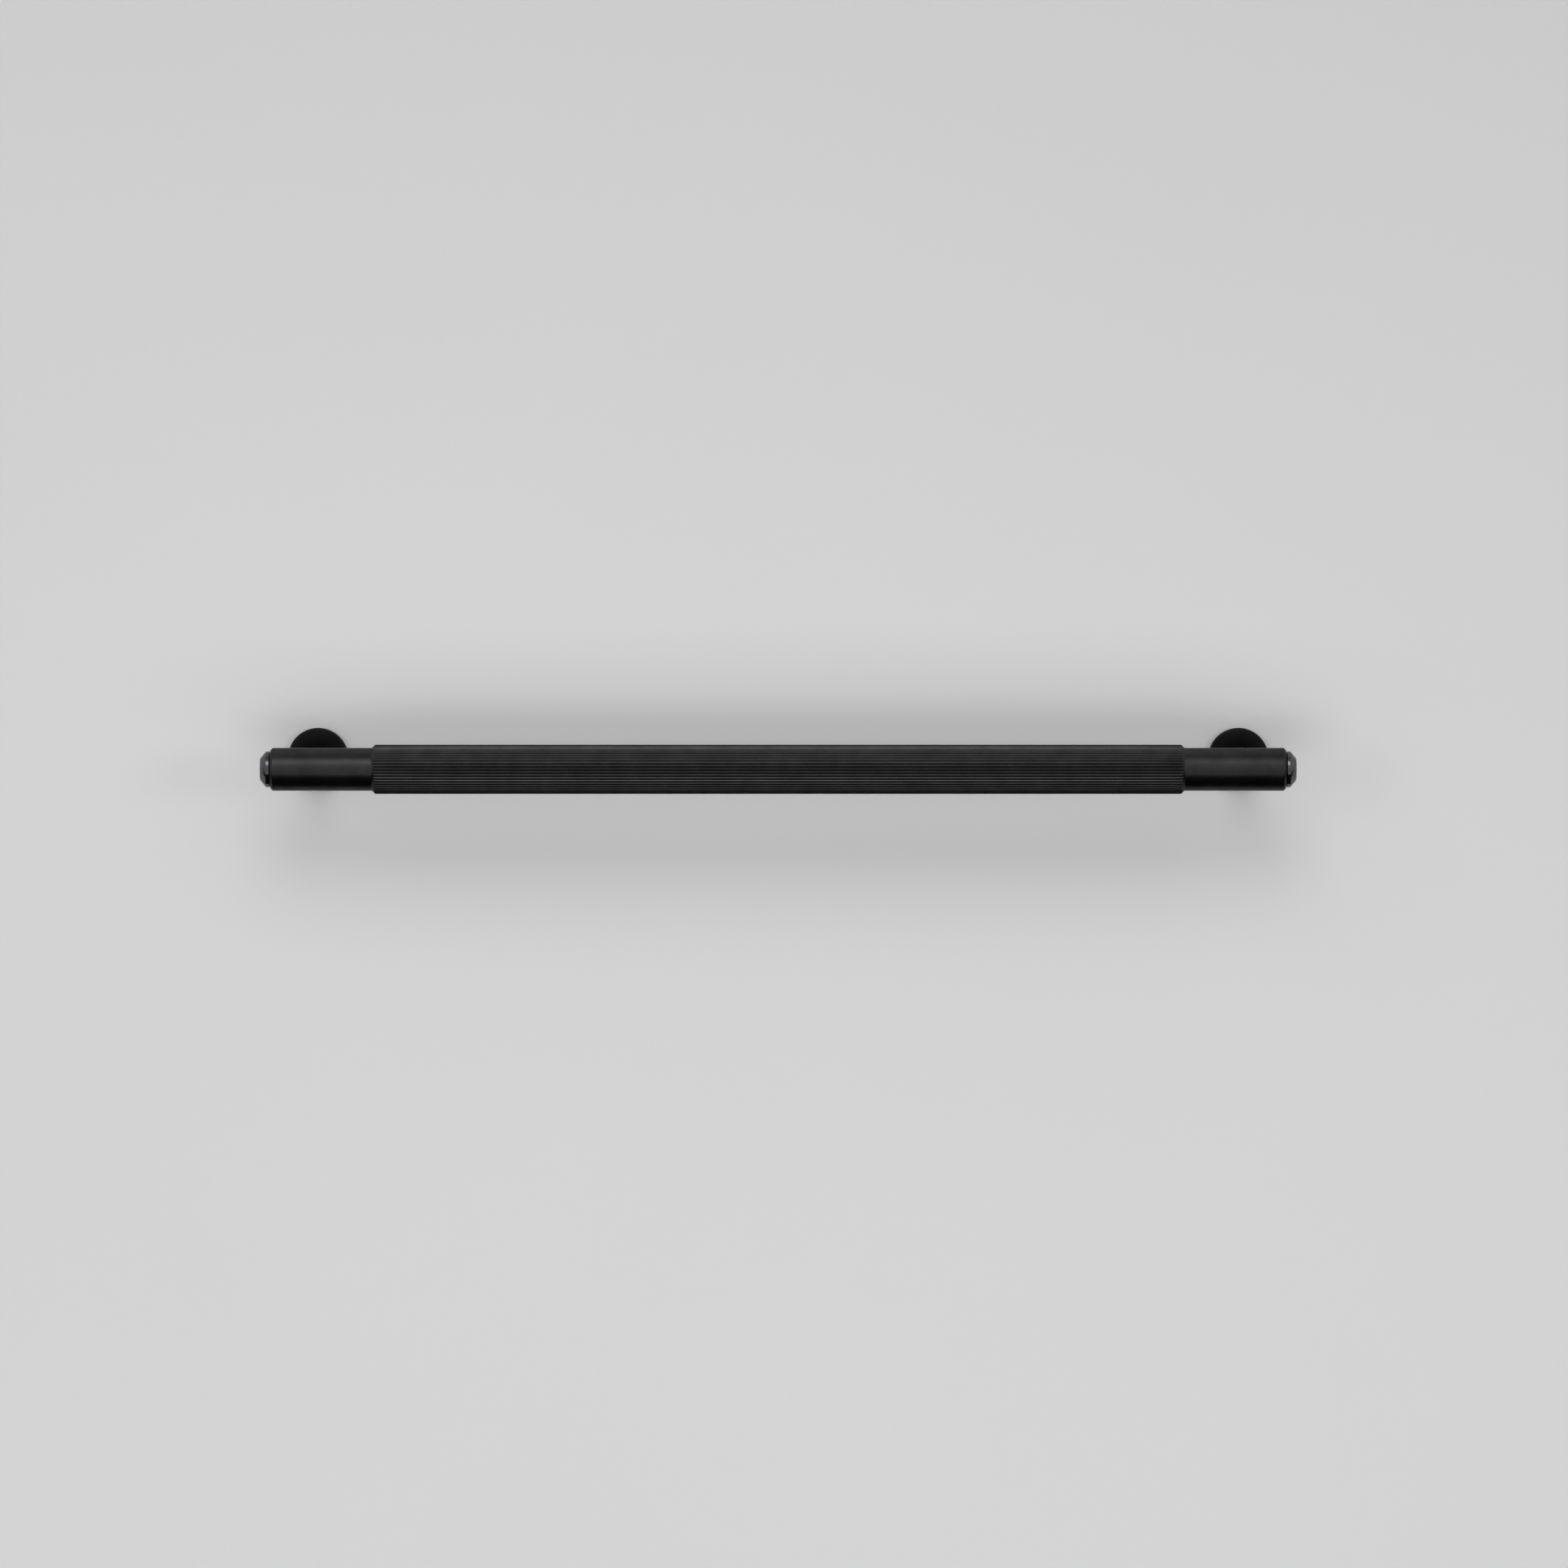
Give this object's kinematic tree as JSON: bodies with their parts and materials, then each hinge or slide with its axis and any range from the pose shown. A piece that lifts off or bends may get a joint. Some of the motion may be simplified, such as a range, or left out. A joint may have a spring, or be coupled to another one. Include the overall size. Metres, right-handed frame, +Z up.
{
  "type": "door pull bar",
  "caption": "Straight pull bar with a fluted grip, smooth ends and chamfered end caps, held off a door or drawer front by round posts on base discs.",
  "frame": {"origin": "on the door's face, midway between the two fixing holes", "axes": "+X along the bar to the right as seen from in front, +Y into the door, +Z up"},
  "size_m": [0.357, 0.042, 0.021],
  "materials": {
    "satin_black_steel": "satin black coating over turned steel",
    "polished_black_steel": "semi-gloss black coating over polished turned steel",
    "plain_steel": "plain screw steel"
  },
  "bodies": {
    "root": {"bar": "satin_black_steel", "end_cap_left": "polished_black_steel", "end_cap_right": "polished_black_steel", "post_left": "satin_black_steel", "post_right": "satin_black_steel", "base_disc_left": "satin_black_steel", "base_disc_right": "satin_black_steel", "stud_left": "plain_steel", "stud_right": "plain_steel"}
  },
  "joints": []
}
